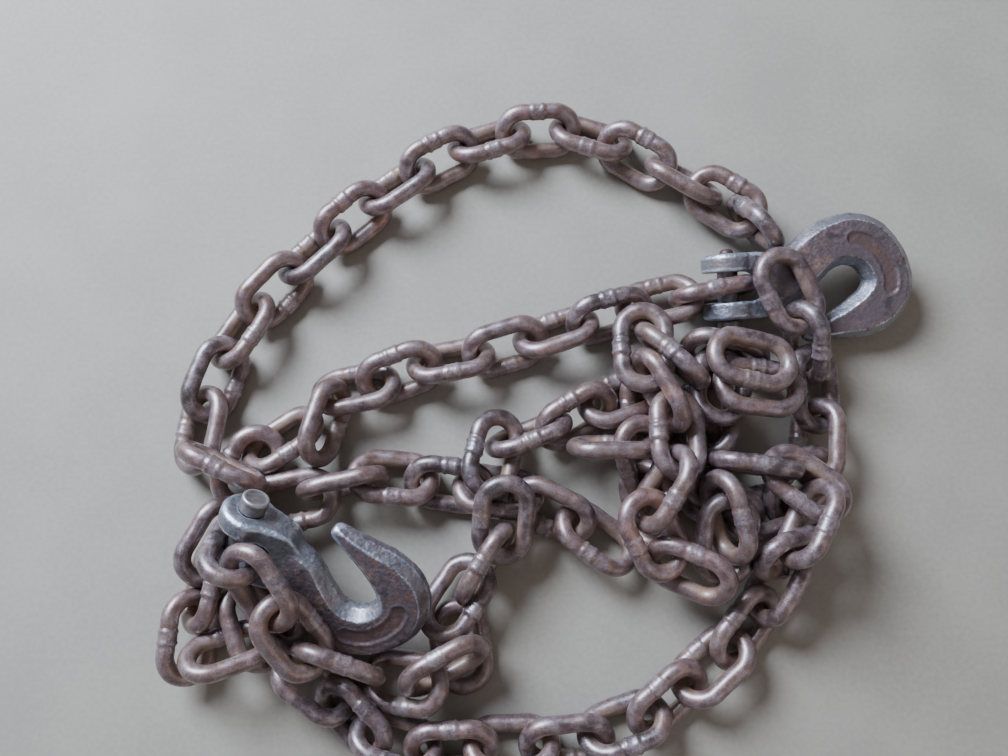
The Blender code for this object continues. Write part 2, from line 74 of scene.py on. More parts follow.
class Finish:
    # one material and the nodes that make it
    def __init__(self, name):
        self.material = bpy.data.materials.new(name)
        self.material.use_nodes = True
        self.nodes = self.material.node_tree.nodes
        self.links = self.material.node_tree.links
        self.shader = self.nodes["Principled BSDF"]

    def make(self, kind, settings, values, output=0):
        node = self.nodes.new(kind)
        for name, value in settings.items():
            if name == "stops":
                self.setStops(node.color_ramp, value)
            else:
                setattr(node, name, value)
        for key, value in values.items():
            self.connect(value, node.inputs[key])
        return Value(self, node.outputs[output])

    def setStops(self, ramp, stops):
        while len(ramp.elements) < len(stops):
            ramp.elements.new(0.5)
        for element, (place, colour) in zip(ramp.elements, stops):
            element.position = place
            element.color = (*colour, 1.0)

    def connect(self, value, socket):
        if isinstance(value, Value):
            self.links.new(value.socket, socket)
        elif isinstance(value, tuple) and socket.type == "RGBA":
            socket.default_value = (*value, 1.0)
        else:
            socket.default_value = value

    def place(self):
        return self.make("ShaderNodeTexCoord", {}, {}, "Object")

    def grain(self, size, detail, roughness):
        # noise whose lumps are about that many millimetres across
        values = {"Vector": self.place(), "Scale": 1.0 / (size * mm)}
        values.update({"Detail": detail, "Roughness": roughness})
        return self.make("ShaderNodeTexNoise", {}, values, "Fac")

    def pits(self, size):
        return self.make(
            "ShaderNodeTexVoronoi", {"feature": "F1"},
            {"Vector": self.place(), "Scale": 1.0 / (size * mm)}, "Distance",
        )

    def attribute(self, name):
        return self.make("ShaderNodeAttribute", {"attribute_name": name}, {}, "Fac")

    def ramp(self, value, stops):
        return self.make("ShaderNodeValToRGB", {"stops": stops}, {0: value})

    def mix(self, amount, first, second):
        return self.make("ShaderNodeMix", {"data_type": "RGBA"}, {0: amount, 6: first, 7: second}, 2)

    def bump(self, height, distance, strength, normal=None):
        values = {"Height": height, "Distance": distance * mm, "Strength": strength}
        if normal is not None:
            values["Normal"] = normal
        return self.make("ShaderNodeBump", {}, values, "Normal")

    def film(self, weight, roughness, ior):
        # the burnished skin that gives the metal its sheen
        self.connect(weight, self.shader.inputs["Coat Weight"])
        self.shader.inputs["Coat Roughness"].default_value = roughness
        self.shader.inputs["Coat IOR"].default_value = ior

    def finish(self, colour, roughness, metallic, normal):
        self.connect(colour, self.shader.inputs["Base Color"])
        self.connect(roughness, self.shader.inputs["Roughness"])
        self.connect(metallic, self.shader.inputs["Metallic"])
        self.connect(normal, self.shader.inputs["Normal"])
        return self.material


# Finishes: colours, and the sizes in millimetres of the patches they come in

rust = {
    "broadSize": 16.0,
    "blotchSize": 6.0,
    "fleckSize": 1.1,
    "gritSize": 0.5,
    "dark": (0.075, 0.045, 0.042),
    "brown": (0.235, 0.130, 0.098),
    "plum": (0.195, 0.112, 0.112),
    "red": (0.330, 0.145, 0.098),
    "tan": (0.440, 0.285, 0.175),
    "pale": (0.500, 0.465, 0.530),
}


def rustyWire():
    made = Finish("rusty wire")
    tone = made.attribute("tone")
    inner = made.attribute("inner")
    weld = made.attribute("weld")
    rub = made.attribute("rub")
    broad = made.grain(rust["broadSize"], 3.0, 0.5)
    blotch = made.grain(rust["blotchSize"], 5.0, 0.55)
    fleck = made.grain(rust["fleckSize"], 4.0, 0.6)
    grit = made.grain(rust["gritSize"], 2.0, 0.5)
    base = made.ramp((broad * 0.6 + blotch * 0.4 + tone * 0.26 - 0.13).clamp(), (
        (0.30, rust["dark"]), (0.43, rust["plum"]), (0.52, rust["brown"]),
        (0.62, rust["plum"]), (0.72, rust["red"]),
    ))
    base = made.mix((fleck * 0.5 + blotch * 0.8).between(0.64, 0.48) * 0.4, base, rust["dark"])
    dusty = (inner.between(0.15, 1.0) * (0.3 + blotch * 0.7) + (broad - 0.58) * 1.5).clamp()
    colour = made.mix(dusty * 0.7, base, rust["tan"])
    worn = ((fleck * 0.4 + grit * 0.2 + blotch * 0.8).between(0.62, 0.92) * (1.0 - dusty)).clamp()
    colour = made.mix(worn * 0.38, colour, rust["pale"])
    colour = made.mix(grit.between(0.58, 0.72) * 0.3, colour, rust["pale"])
    colour = made.mix(grit.between(0.42, 0.28) * 0.5, colour, rust["dark"])
    colour = made.mix(weld * (fleck * 0.9 - 0.30).clamp(), colour, rust["pale"])
    # painted shade: darker where a link lies against another link
    colour = made.mix(rub * 0.45, colour, rust["dark"])
    roughness = 0.27 + fleck * 0.18 + blotch * 0.12 + dusty * 0.25
    metallic = (0.45 - dusty * 0.30).clamp()
    made.film((0.85 - dusty * 0.5 + (blotch - 0.5) * 0.8).clamp(), 0.30, 1.75)
    scale = made.bump(fleck + grit * 0.6, 0.24, 0.65)
    lumps = made.bump(blotch, 0.5, 0.35, scale)
    return made.finish(colour, roughness, metallic, lumps)


forged = {
    "broadSize": 22.0,
    "blotchSize": 7.0,
    "patchSize": 3.0,
    "fleckSize": 1.2,
    "pitSize": 2.2,
    "dark": (0.085, 0.064, 0.070),
    "face": (0.155, 0.115, 0.128),
    "red": (0.250, 0.140, 0.108),
    "sunk": (0.150, 0.080, 0.065),
    "grey": (0.265, 0.275, 0.308),
    # worn bare steel, tinted bluish-white as a painted sky reflection
    "bare": (0.640, 0.690, 0.800),
}


def forgedSteel():
    made = Finish("forged steel")
    edge = made.attribute("edge")
    rim = made.attribute("rim")
    panel = made.attribute("panel")
    broad = made.grain(forged["broadSize"], 3.0, 0.5)
    blotch = made.grain(forged["blotchSize"], 6.0, 0.6)
    patch = made.grain(forged["patchSize"], 5.0, 0.65)
    fleck = made.grain(forged["fleckSize"], 5.0, 0.65)
    base = made.ramp(blotch, (
        (0.34, forged["dark"]), (0.44, forged["face"]), (0.56, forged["face"]), (0.68, forged["red"]),
    ))
    # the bevels go grey: worn steel, and round the throat in part a painted reflection
    scoured = (rim + (broad - 0.5) * 1.8 + (blotch - 0.5) * 1.1).between(0.35, 0.95)
    colour = made.mix(scoured * 0.75, base, forged["grey"])
    rusted = (patch * 0.6 + fleck * 0.4 + (broad - 0.5) * 0.8).between(0.52, 0.66)
    colour = made.mix(rusted * 0.6, colour, forged["red"])
    colour = made.mix((patch + fleck).between(0.92, 0.74) * 0.6, colour, forged["dark"])
    colour = made.mix(panel * (0.25 + fleck * 0.5), colour, forged["sunk"])
    # worn bare steel on edges and bevels; its bluish-white colour and its extra strength round the throat
    # paint a sky reflection
    bare = (edge + rim * 0.42 + (fleck - 0.5) * 0.9 + (blotch - 0.5) * 0.9).between(0.42, 0.92)
    colour = made.mix(bare * (1.0 - panel) * 0.85, colour, forged["bare"])
    roughness = 0.40 + fleck * 0.22 + rusted * 0.12 - bare * 0.08
    metallic = (0.45 + scoured * 0.30 + bare * 0.2 - rusted * 0.3).clamp()
    made.film((0.35 + scoured * 0.4 - rusted * 0.3).clamp(), 0.32, 1.7)
    scale = made.bump(fleck, 0.35, 0.7)
    pitted = made.bump(made.pits(forged["pitSize"]), 0.45, 0.5, scale)
    return made.finish(colour, roughness, metallic, pitted)


worn = {
    "blotchSize": 5.0,
    "fleckSize": 1.0,
    "dull": (0.230, 0.190, 0.180),
    "bare": (0.520, 0.500, 0.520),
    "stain": (0.085, 0.030, 0.030),
}


def wornSteel():
    made = Finish("worn steel")
    edge = made.attribute("edge")
    end = made.attribute("end")
    blotch = made.grain(worn["blotchSize"], 5.0, 0.6)
    fleck = made.grain(worn["fleckSize"], 5.0, 0.7)
    colour = made.mix((edge * 0.7 + blotch * 0.8).between(0.25, 0.75), worn["dull"], worn["bare"])
    colour = made.mix(end * (0.6 + blotch * 0.5).clamp(), colour, worn["stain"])
    roughness = 0.34 + fleck * 0.2 + end * 0.05
    metallic = (0.85 - end * 0.35).clamp()
    return made.finish(colour, roughness, metallic, made.bump(fleck, 0.15, 0.4))


finishes = {"rusty_wire": rustyWire(), "forged_steel": forgedSteel(), "worn_steel": wornSteel()}
print("finishes ready:", ", ".join(finishes))


# Helpers

def coordsOf(mesh):
    flat = np.empty(len(mesh.vertices) * 3, np.float32)
    mesh.vertices.foreach_get("co", flat)
    return flat.reshape(-1, 3).astype(float)


def setCoords(mesh, coords):
    mesh.vertices.foreach_set("co", coords.astype(np.float32).ravel())
    mesh.update()


def setAttribute(mesh, name, values):
    attribute = mesh.attributes.new(name, "FLOAT", "POINT")
    attribute.data.foreach_set("value", np.asarray(values, np.float32))


def smoothStep(values, low, high):
    share = np.clip((values - low) / (high - low), 0.0, 1.0)
    return share * share * (3.0 - 2.0 * share)


def meshOf(bm, name):
    bmesh.ops.recalc_face_normals(bm, faces=bm.faces)
    mesh = bpy.data.meshes.new(name)
    bm.to_mesh(mesh)
    bm.free()
    return mesh


def addPiece(name, mesh, slot, *replaced):
    piece = bpy.data.objects.new(name, mesh)
    bpy.context.scene.collection.objects.link(piece)
    mesh.name = name
    mesh.materials.clear()
    mesh.materials.append(finishes[slot])
    mesh.shade_smooth()
    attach(piece, "root")
    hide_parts(*replaced)
    return piece


def lumpy(points, size, offset):
    # noise of -1 to 1 at each point, with lumps of that size
    return np.array([noise.noise(Vector(point) / size + Vector((offset, 0.0, 0.0))) for point in points])


# Chain links. A link's own axes: x along its bars, y from one bar to the other, z square to both.

link = {
    "wire": 4.7,
    "crown": 12.0,
    "straight": 18.0,
    "sides": 28,
    "crownSteps": 22,
    "barSteps": 20,
    # a weld: a raised collar with a ridge at each end and a groove beyond it
    "weldHalf": 3.6,
    "weldRise": 0.30,
    "collarIn": 0.5,
    "collarOut": 0.9,
    "ridgeRise": 0.42,
    "ridgeWidth": 0.60,
    "ridgeIn": 0.6,
    "grooveDepth": 0.22,
    "grooveOut": 1.6,
    "weldOnTop": 0.5,
    "leastRough": 0.5,
    "mostRough": 1.3,
    "lump": 0.7,
    "lumpSize": 2.6,
    "dent": 0.26,
    "dentSize": 7.0,
    "patternSpan": 50,
    # links whose middles are further apart than this can't touch
    "reach": 60.0,
    # painted contact shade: full within the first distance of another wire's surface, gone beyond the
    # second
    "shadeNear": 0.2,
    "shadeFar": 1.6,
    "seed": 7,
}


def wireRing():
    # a crown, a bar, a crown, and the last bar closed onto the start
    bm = bmesh.new()
    ring = bmesh.ops.create_circle(bm, radius=link["wire"], segments=link["sides"])["verts"]
    half = link["straight"] / 2
    onBar = Matrix.Translation((half, -link["crown"], 0.0)) @ Matrix.Rotation(math.pi / 2, 4, "Y")
    bmesh.ops.transform(bm, matrix=onBar, verts=ring)
    firstLoop = bm.edges[:]
    loop = firstLoop
    for side in (1, -1):
        loop = bendRound(bm, loop, side * half)
        steps = link["barSteps"] - (side < 0)
        loop = drawOut(bm, loop, -side * link["straight"] / link["barSteps"], steps)
    bmesh.ops.bridge_loops(bm, edges=firstLoop + loop)
    return meshOf(bm, "wire ring")


def bendRound(bm, loop, middle):
    turned = bmesh.ops.spin(
        bm, geom=loop, cent=(middle, 0.0, 0.0), axis=(0.0, 0.0, 1.0), dvec=(0.0, 0.0, 0.0),
        angle=math.pi, steps=link["crownSteps"], use_merge=False,
    )
    return [item for item in turned["geom_last"] if isinstance(item, bmesh.types.BMEdge)]


def drawOut(bm, loop, step, count):
    for _ in range(count):
        drawn = bmesh.ops.extrude_edge_only(bm, edges=loop)["geom"]
        moved = [item for item in drawn if isinstance(item, bmesh.types.BMVert)]
        bmesh.ops.translate(bm, vec=(step, 0.0, 0.0), verts=moved)
        loop = [item for item in drawn if isinstance(item, bmesh.types.BMEdge) and item.is_boundary]
    return loop


def wireCore(points):
    # for points in a link's own axes: the nearest point of its centreline, and the outward direction there
    half = link["straight"] / 2
    spine = np.zeros_like(points)
    spine[:, 0] = np.clip(points[:, 0], -half, half)
    outward = points - spine
    outward[:, 2] = 0.0
    outward /= np.maximum(np.linalg.norm(outward, axis=1), 1e-9)[:, None]
    return spine + outward * link["crown"], outward


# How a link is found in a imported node, from the edges of its straight bars.

reading = {
    "lengthSlack": 0.02,
    "parallel": 0.9999,
    "levelSlack": 0.2,
    "fewestEdges": 6,
}


def barEdges(node):
    # a straight bar's edges are the only ones of just that length: their middles and directions
    mesh = nodes[node].data
    points = coordsOf(mesh) / mm
    pairs = np.array([edge.vertices[:] for edge in mesh.edges])
    starts, ends = points[pairs[:, 0]], points[pairs[:, 1]]
    lengths = np.linalg.norm(ends - starts, axis=1)
    chosen = np.abs(lengths - link["straight"]) < reading["lengthSlack"]
    middles = (starts + ends)[chosen] / 2
    directions = (ends - starts)[chosen] / lengths[chosen][:, None]
    _, single = np.unique(middles.round(2), axis=0, return_index=True)
    return middles[single], directions[single]


def circleMiddle(points):
    # the middle of the circle through points in a plane
    rows = np.column_stack((2 * points, np.ones(len(points))))
    return np.linalg.lstsq(rows, (points ** 2).sum(axis=1), rcond=None)[0][:2]


def placesIn(node):
    # where the links of one node lie, as middles and axes
    middles, directions = barEdges(node)
    left = list(range(len(middles)))
    found = []
    while left:
        along = directions[left[0]]
        start = middles[left[0]]
        mine = [
            i for i in left
            if abs(directions[i] @ along) > reading["parallel"]
            and abs((middles[i] - start) @ along) < reading["levelSlack"]
        ]
        left = [i for i in left if i not in mine]
        if len(mine) < reading["fewestEdges"]:
            continue
        side = np.linalg.svd(middles[mine] - middles[mine].mean(axis=0))[2][0]
        side = side - (side @ along) * along
        side /= np.linalg.norm(side)
        other = np.cross(along, side)
        flat = np.column_stack(((middles[mine] - start) @ side, (middles[mine] - start) @ other))
        near = np.linalg.norm(flat - flat[0], axis=1) < link["crown"]
        first, second = circleMiddle(flat[near]), circleMiddle(flat[~near])
        across = (second[0] - first[0]) * side + (second[1] - first[1]) * other
        across /= np.linalg.norm(across)
        flatMiddle = (first + second) / 2
        middle = start + flatMiddle[0] * side + flatMiddle[1] * other
        found.append((middle, along, across if across[2] > 0 else -across))
    return found


def chainPlaces(startPoint):
    # the links node by node, in the order of the nodes' names, which puts link_95 first;
    # each points from the one before it in this order towards the one after it
    placed = []
    last = startPoint
    for node in sorted(name for name in nodes if name.startswith("link")):
        found = sorted(placesIn(node), key=lambda place: np.linalg.norm(place[0] - last))
        placed += [(node, *place) for place in found]
        last = placed[-1][1]
    chain = []
    for i, (node, middle, along, across) in enumerate(placed):
        onward = placed[min(i + 1, len(placed) - 1)][1] - placed[max(i - 1, 0)][1]
        if along @ onward < 0:
            along = -along
        chain.append((node, middle, np.stack((along, across, np.cross(along, across)), axis=1)))
    return chain


def weldShape(points, side):
    # height of the weld's collar at each point of a link, on one bar, and a mask of it
    distance = np.abs(points[:, 0])
    onBar = (points[:, 1] * side > 0).astype(float)
    end = link["weldHalf"]
    collar = 1.0 - smoothStep(distance, end - link["collarIn"], end + link["collarOut"])
    ridge = np.exp(-((distance - end + link["ridgeIn"]) / link["ridgeWidth"]) ** 2)
    groove = np.exp(-((distance - end - link["grooveOut"]) / link["ridgeWidth"]) ** 2)
    rise = link["weldRise"] * collar + link["ridgeRise"] * ridge - link["grooveDepth"] * groove
    return rise * onBar, collar * onBar


def shapedLink(base, chance):
    # one link's surface in its own axes, with its weld and dents, and the masks its finish reads
    core, outward = wireCore(base)
    away = (base - core) / link["wire"]
    inner = -(away * outward).sum(axis=1)
    side = 1 if chance.random() < link["weldOnTop"] else -1
    rise, mask = weldShape(base, side)
    strength = chance.uniform(link["leastRough"], link["mostRough"])
    lumps = lumpy(base, link["lumpSize"], chance.uniform(0, link["patternSpan"]))
    rough = strength * (1.0 + link["lump"] * lumps)
    dents = link["dent"] * lumpy(base, link["dentSize"], chance.uniform(0, link["patternSpan"]))
    shaped = base + away * (rise * rough + dents)[:, None]
    return shaped, inner, mask


def pressedTogether(surfaces, chain):
    # where two wires overlap each gives way by half, as worn seats do; beside that, a mask of painted shade
    # that darkens each wire close to another one
    pressed, contactShades = [], []
    for i, surface in enumerate(surfaces):
        push = np.zeros_like(surface)
        rub = np.zeros(len(surface))
        for j, (_, middle, axes) in enumerate(chain):
            if i == j or np.linalg.norm(middle - chain[i][1]) > link["reach"]:
                continue
            points = (surface - middle) @ axes
            core, _ = wireCore(points)
            away = points - core
            distance = np.linalg.norm(away, axis=1)
            overlap = np.maximum(link["wire"] - distance, 0.0)
            push += (away / np.maximum(distance, 1e-6)[:, None] * (overlap / 2)[:, None]) @ axes.T
            near, far = link["wire"] + link["shadeNear"], link["wire"] + link["shadeFar"]
            # painted shade, strongest close to another wire
            rub = np.maximum(rub, 1.0 - smoothStep(distance, near, far))
        moved = surface + push
        moved[:, 2] = np.maximum(moved[:, 2], 0.0)
        pressed.append(moved)
        contactShades.append(rub)
    return pressed, contactShades


def addChain(startPoint):
    ring = wireRing()
    base = coordsOf(ring)
    chain = chainPlaces(startPoint)
    chance = random.Random(link["seed"])
    shaped = [shapedLink(base, chance) for _ in chain]
    surfaces = [middle + shape[0] @ axes.T for shape, (_, middle, axes) in zip(shaped, chain)]
    pressed, contactShades = pressedTogether(surfaces, chain)
    for number, (surface, rub, shape, place) in enumerate(zip(pressed, contactShades, shaped, chain), 1):
        mesh = ring.copy()
        setCoords(mesh, surface * mm)
        setAttribute(mesh, "inner", shape[1])
        setAttribute(mesh, "weld", shape[2])
        # the painted contact shade
        setAttribute(mesh, "rub", rub)
        setAttribute(mesh, "tone", np.full(len(surface), chance.random()))
        addPiece(f"chain_link_{number:02d}", mesh, "rusty_wire", place[0])
    print("chain ready:", len(chain), "links,", len(ring.polygons) * 2, "triangles each")


# Clevis hooks. A hook's own axes: x from its pin to its bowl, y towards the tip, z square to both.

hook = {
    # x, y, half width and half thickness at stations from the neck to the tip
    "stations": (
        (22.0, -0.4, 12.0, 7.0),
        (32.0, -2.4, 14.4, 8.5),
        (41.5, -9.2, 13.8, 8.5),
        (51.5, -17.5, 13.6, 8.5),
        (60.5, -21.7, 14.0, 8.5),
        (70.0, -22.6, 14.8, 8.5),
        (79.0, -19.3, 14.6, 8.5),
        (86.5, -11.0, 13.9, 8.5),
        (90.5, -0.2, 13.8, 8.5),
        (89.0, 9.0, 14.0, 8.5),
        (83.0, 16.5, 13.6, 8.3),
        (73.5, 21.5, 12.0, 7.8),
        (62.0, 25.0, 8.8, 7.0),
        (52.0, 27.6, 6.2, 5.8),
        (44.0, 29.8, 4.4, 4.6),
        (41.2, 30.6, 2.4, 2.8),
    ),
    "stepsPerStation": 6,
    "chamferIn": 4.6,
    "chamferUp": 6.0,
    "earRadius": 14.5,
    "earChamfer": 1.6,
    "earOpensAt": 50,
    "earSteps": 52,
    "forkHalfWidth": 18.5,
    # the cheeks are straight to the first x, and bend at the second
    "cheekStraight": 12,
    "cheekBend": (25, 16.9),
    # how far the cutting blocks pass the shape they cut
    "spare": 1,
    "beyond": 5,
    "jawSteps": 32,
    "holeSteps": 48,
    "jaw": 17.0,
    "crotch": 19.0,
    "forkEnd": 32.0,
    "forkEndHalfWidth": 11.0,
    "forkEndHalfThickness": 6.0,
    "pinHole": 12.3,
    "grain": 0.6,
    "smoothing": 5,
    "smoothFactor": 0.5,
    # where the fork runs into the shank is smoothed further, most in the middle of this stretch
    "blendFrom": 22.0,
    "blendTo": 46.0,
    "blendRounds": 40,
    "blendShare": 0.25,
    "blendBelow": 14.0,
    "panelFrom": 4.6,
    "panelTo": 9.1,
    "panelHalfWidth": 3.9,
    "panelShift": 0.6,
    "panelDepth": 0.7,
    "panelRim": 0.30,
    "panelSoftIn": -1.1,
    "panelSoftOut": 0.5,
    "rimOut": 0.9,
    "rimWidth": 0.7,
    "faceFrom": 7.2,
    "faceTo": 7.9,
    "bevelSoft": 0.6,
    "outerBevel": 0.75,
    "forkBareFrom": 20.0,
    "forkBareTo": 36.0,
    "forkBare": 0.9,
    "wearRounds": 14,
    "wearDepth": 0.55,
    "wearStart": 0.1,
    "swell": 0.26,
    "swellSize": 9.0,
    "pock": 0.16,
    "pockSize": 2.8,
    "patterns": {"hook_1": 0.0, "hook_2": 31.0},
    "turns": {"hook_1": (4, 0, -15), "hook_2": (-25, -7, 146)},
}

pin = {
    "radius": 5.75,
    "peenedRadius": 3.75,
    "headRadius": 7.0,
    "peenedFrom": -21.5,
    "shaftFrom": -19.0,
    "headFrom": 18.8,
    "headLength": 8.0,
    "sides": 64,
    "lump": 0.05,
    "lumpSize": 3.0,
    "rimIn": 0.6,
    "rimWidth": 0.7,
    "rimFrom": 6,
    "stainFrom": -0.3,
    "stainTo": 1.5,
    "patterns": {"hook_1": 5.0, "hook_2": 11.0},
}


def hookAxes(heading, rise, roll):
    heading, rise, roll = np.radians((heading, rise, roll))
    along = np.array((np.cos(rise) * np.cos(heading), np.cos(rise) * np.sin(heading), np.sin(rise)))
    right = np.array((np.sin(heading), -np.cos(heading), 0.0))
    across = np.cos(roll) * right + np.sin(roll) * np.cross(right, along)
    return np.stack((along, across, np.cross(along, across)), axis=1)


def hookPlace(name):
    # the far end of the pin's head marks the pin's axis, so the hook's place is read from there
    axes = hookAxes(*hook["turns"][name])
    points = coordsOf(nodes[name + "_pin"].data) / mm
    points = np.unique(points.round(3), axis=0)
    along = points @ axes[:, 1]
    top = points[along > along.max() - 0.05].mean(axis=0)
    middle = top - axes[:, 1] * (pin["headFrom"] + pin["headLength"])
    return middle, axes


def placeMatrix(middle, axes):
    matrix = Matrix(axes.tolist()).to_4x4()
    matrix.translation = Vector(middle.tolist())
    return Matrix.Scale(mm, 4) @ matrix


def smoothRow(rows, place):
    # a value between stations, on a curve that passes through every one
    last = len(rows) - 1
    i = min(int(place), last - 1)
    share = place - i
    before, here, after, beyond = (np.array(rows[min(max(i + k, 0), last)]) for k in (-1, 0, 1, 2))
    return 0.5 * (
        2 * here + (after - before) * share
        + (2 * before - 5 * here + 4 * after - beyond) * share ** 2
        + (3 * here - before - 3 * after + beyond) * share ** 3
    )


def hookLine():
    # the hook's centreline from neck to tip: finer stations and the direction at each
    rows = hook["stations"]
    places = np.linspace(0, len(rows) - 1, (len(rows) - 1) * hook["stepsPerStation"] + 1)
    line = np.array([smoothRow(rows, place) for place in places])
    runs = np.gradient(line[:, :2], axis=0)
    return places, line, runs / np.linalg.norm(runs, axis=1)[:, None]


def section(bm, row, run):
    # eight sides with wide chamfers
    x, y, halfWidth, halfThick = row
    inBy = min(hook["chamferIn"], 0.45 * halfWidth)
    upBy = min(hook["chamferUp"], 0.7 * halfThick)
    corner = ((halfWidth, halfThick - upBy), (halfWidth - inBy, halfThick))
    outline = list(corner) + [(-across, up) for across, up in reversed(corner)]
    outline += [(-across, -up) for across, up in outline]
    verts = [bm.verts.new((x - run[1] * across, y + run[0] * across, up)) for across, up in outline]
    return verts, [bm.edges.new((verts[i - 1], verts[i])) for i in range(len(verts))]


def hookBody():
    _, line, runs = hookLine()
    bm = bmesh.new()
    sections = [section(bm, row, run) for row, run in zip(line, runs)]
    for (_, edges), (_, more) in zip(sections[:-1], sections[1:]):
        bmesh.ops.bridge_loops(bm, edges=edges + more)
    bm.faces.new(sections[0][0])
    bm.faces.new(sections[-1][0])
    return meshOf(bm, "hook body")


def arcPoints(centre, radius, start, end, steps):
    angles = [math.radians(start + (end - start) * i / steps) for i in range(steps + 1)]
    return [(centre + radius * math.cos(a), radius * math.sin(a)) for a in angles]


def block(name, outline, halfDepth, upright, chamfer=0.0):
    # an outline raised along z, or drawn along y, with chamfered ends
    bm = bmesh.new()
    halfDepth -= chamfer
    if upright:
        verts = [bm.verts.new((x, y, -halfDepth)) for x, y in outline]
    else:
        verts = [bm.verts.new((x, -halfDepth, z)) for x, z in outline]
    drawn = bmesh.ops.extrude_face_region(bm, geom=[bm.faces.new(verts)])["geom"]
    moved = [item for item in drawn if isinstance(item, bmesh.types.BMVert)]
    bmesh.ops.translate(bm, vec=(0, 0, 2 * halfDepth) if upright else (0, 2 * halfDepth, 0), verts=moved)
    if chamfer:
        bmesh.ops.recalc_face_normals(bm, faces=bm.faces)
        ends = [face for face in bm.faces if len(face.verts) == len(outline)]
        bmesh.ops.inset_individual(bm, faces=ends, thickness=chamfer, depth=chamfer)
    return meshOf(bm, name)


def scratchObject(mesh):
    made = bpy.data.objects.new(mesh.name, mesh)
    bpy.context.scene.collection.objects.link(made)
    return made


def appliedMesh(target):
    bpy.context.view_layer.update()
    mesh = bpy.data.meshes.new_from_object(target.evaluated_get(bpy.context.evaluated_depsgraph_get()))
    target.modifiers.clear()
    target.data = mesh
    return target


def cut(target, mesh, operation):
    other = scratchObject(mesh)
    modifier = target.modifiers.new(operation, "BOOLEAN")
    modifier.operation = operation
    modifier.solver = "EXACT"
    modifier.object = other
    appliedMesh(target)
    bpy.data.objects.remove(other)


def forkObject():
    # two ears beside a jaw, where a plan and a side outline meet
    half, ear, end, halfJaw = hook["forkHalfWidth"], hook["earRadius"], hook["forkEnd"], hook["jaw"] / 2
    wide = half + hook["spare"]
    plan = [(-ear - hook["spare"], wide), (hook["cheekStraight"], wide), hook["cheekBend"]]
    plan += [(end, hook["forkEndHalfWidth"])]
    plan += [(x, -y) for x, y in reversed(plan)]
    side = arcPoints(0, ear, hook["earOpensAt"], 360 - hook["earOpensAt"], hook["earSteps"])
    side += [(end, -hook["forkEndHalfThickness"]), (end, hook["forkEndHalfThickness"])]
    jaw = arcPoints(hook["crotch"] - halfJaw, halfJaw, -90, 90, hook["jawSteps"])
    jaw += [(-ear - hook["beyond"], halfJaw), (-ear - hook["beyond"], -halfJaw)]
    hole = arcPoints(0, hook["pinHole"] / 2, 0, 360, hook["holeSteps"])[:-1]
    fork = scratchObject(block("fork", plan, ear + 2 * hook["spare"], True))
    cut(fork, block("side", side, half, False, hook["earChamfer"]), "INTERSECT")
    cut(fork, block("jaw", jaw, ear + hook["beyond"], True), "DIFFERENCE")
    cut(fork, block("hole", hole, half + hook["beyond"], False), "DIFFERENCE")
    return fork


def smoothOver(bm, verts):
    factor = hook["smoothFactor"]
    bmesh.ops.smooth_vert(bm, verts=verts, factor=factor, use_axis_x=True, use_axis_y=True, use_axis_z=True)


def forgedBlank():
    # fork and body in one, with the softened edges of a forging
    whole = forkObject()
    cut(whole, hookBody(), "UNION")
    remesh = whole.modifiers.new("grain", "REMESH")
    remesh.mode = "VOXEL"
    remesh.voxel_size = hook["grain"]
    appliedMesh(whole)
    bm = bmesh.new()
    bm.from_mesh(whole.data)
    for _ in range(hook["smoothing"]):
        smoothOver(bm, bm.verts)
    for i in range(hook["blendRounds"]):
        inside = hook["blendShare"] * (hook["blendTo"] - hook["blendFrom"]) * i / hook["blendRounds"]
        low, high = hook["blendFrom"] + inside, hook["blendTo"] - inside
        near = [vert for vert in bm.verts if low < vert.co.x < high and vert.co.y < hook["blendBelow"]]
        smoothOver(bm, near)
    bpy.data.objects.remove(whole)
    return meshOf(bm, "forged blank")


def normalsOf(mesh):
    flat = np.empty(len(mesh.vertices) * 3, np.float32)
    mesh.vertex_normals.foreach_get("vector", flat)
    return flat.reshape(-1, 3).astype(float)


def edgeWear(mesh, coords, normals):
    # 1 on outer edges that stand proud of the surface around them, 0 on flats and in hollows
    pairs = np.array([edge.vertices[:] for edge in mesh.edges])
    ends = np.concatenate((pairs[:, 0], pairs[:, 1]))
    others = np.concatenate((pairs[:, 1], pairs[:, 0]))
    count = np.bincount(ends, minlength=len(coords)).astype(float)
    smooth = coords.copy()
    for _ in range(hook["wearRounds"]):
        smooth = np.stack([np.bincount(ends, smooth[others, k], len(coords)) for k in range(3)], axis=1)
        smooth /= count[:, None]
    proud = ((coords - smooth) * normals).sum(axis=1)
    return smoothStep(proud, hook["wearStart"] * hook["wearDepth"], hook["wearDepth"])


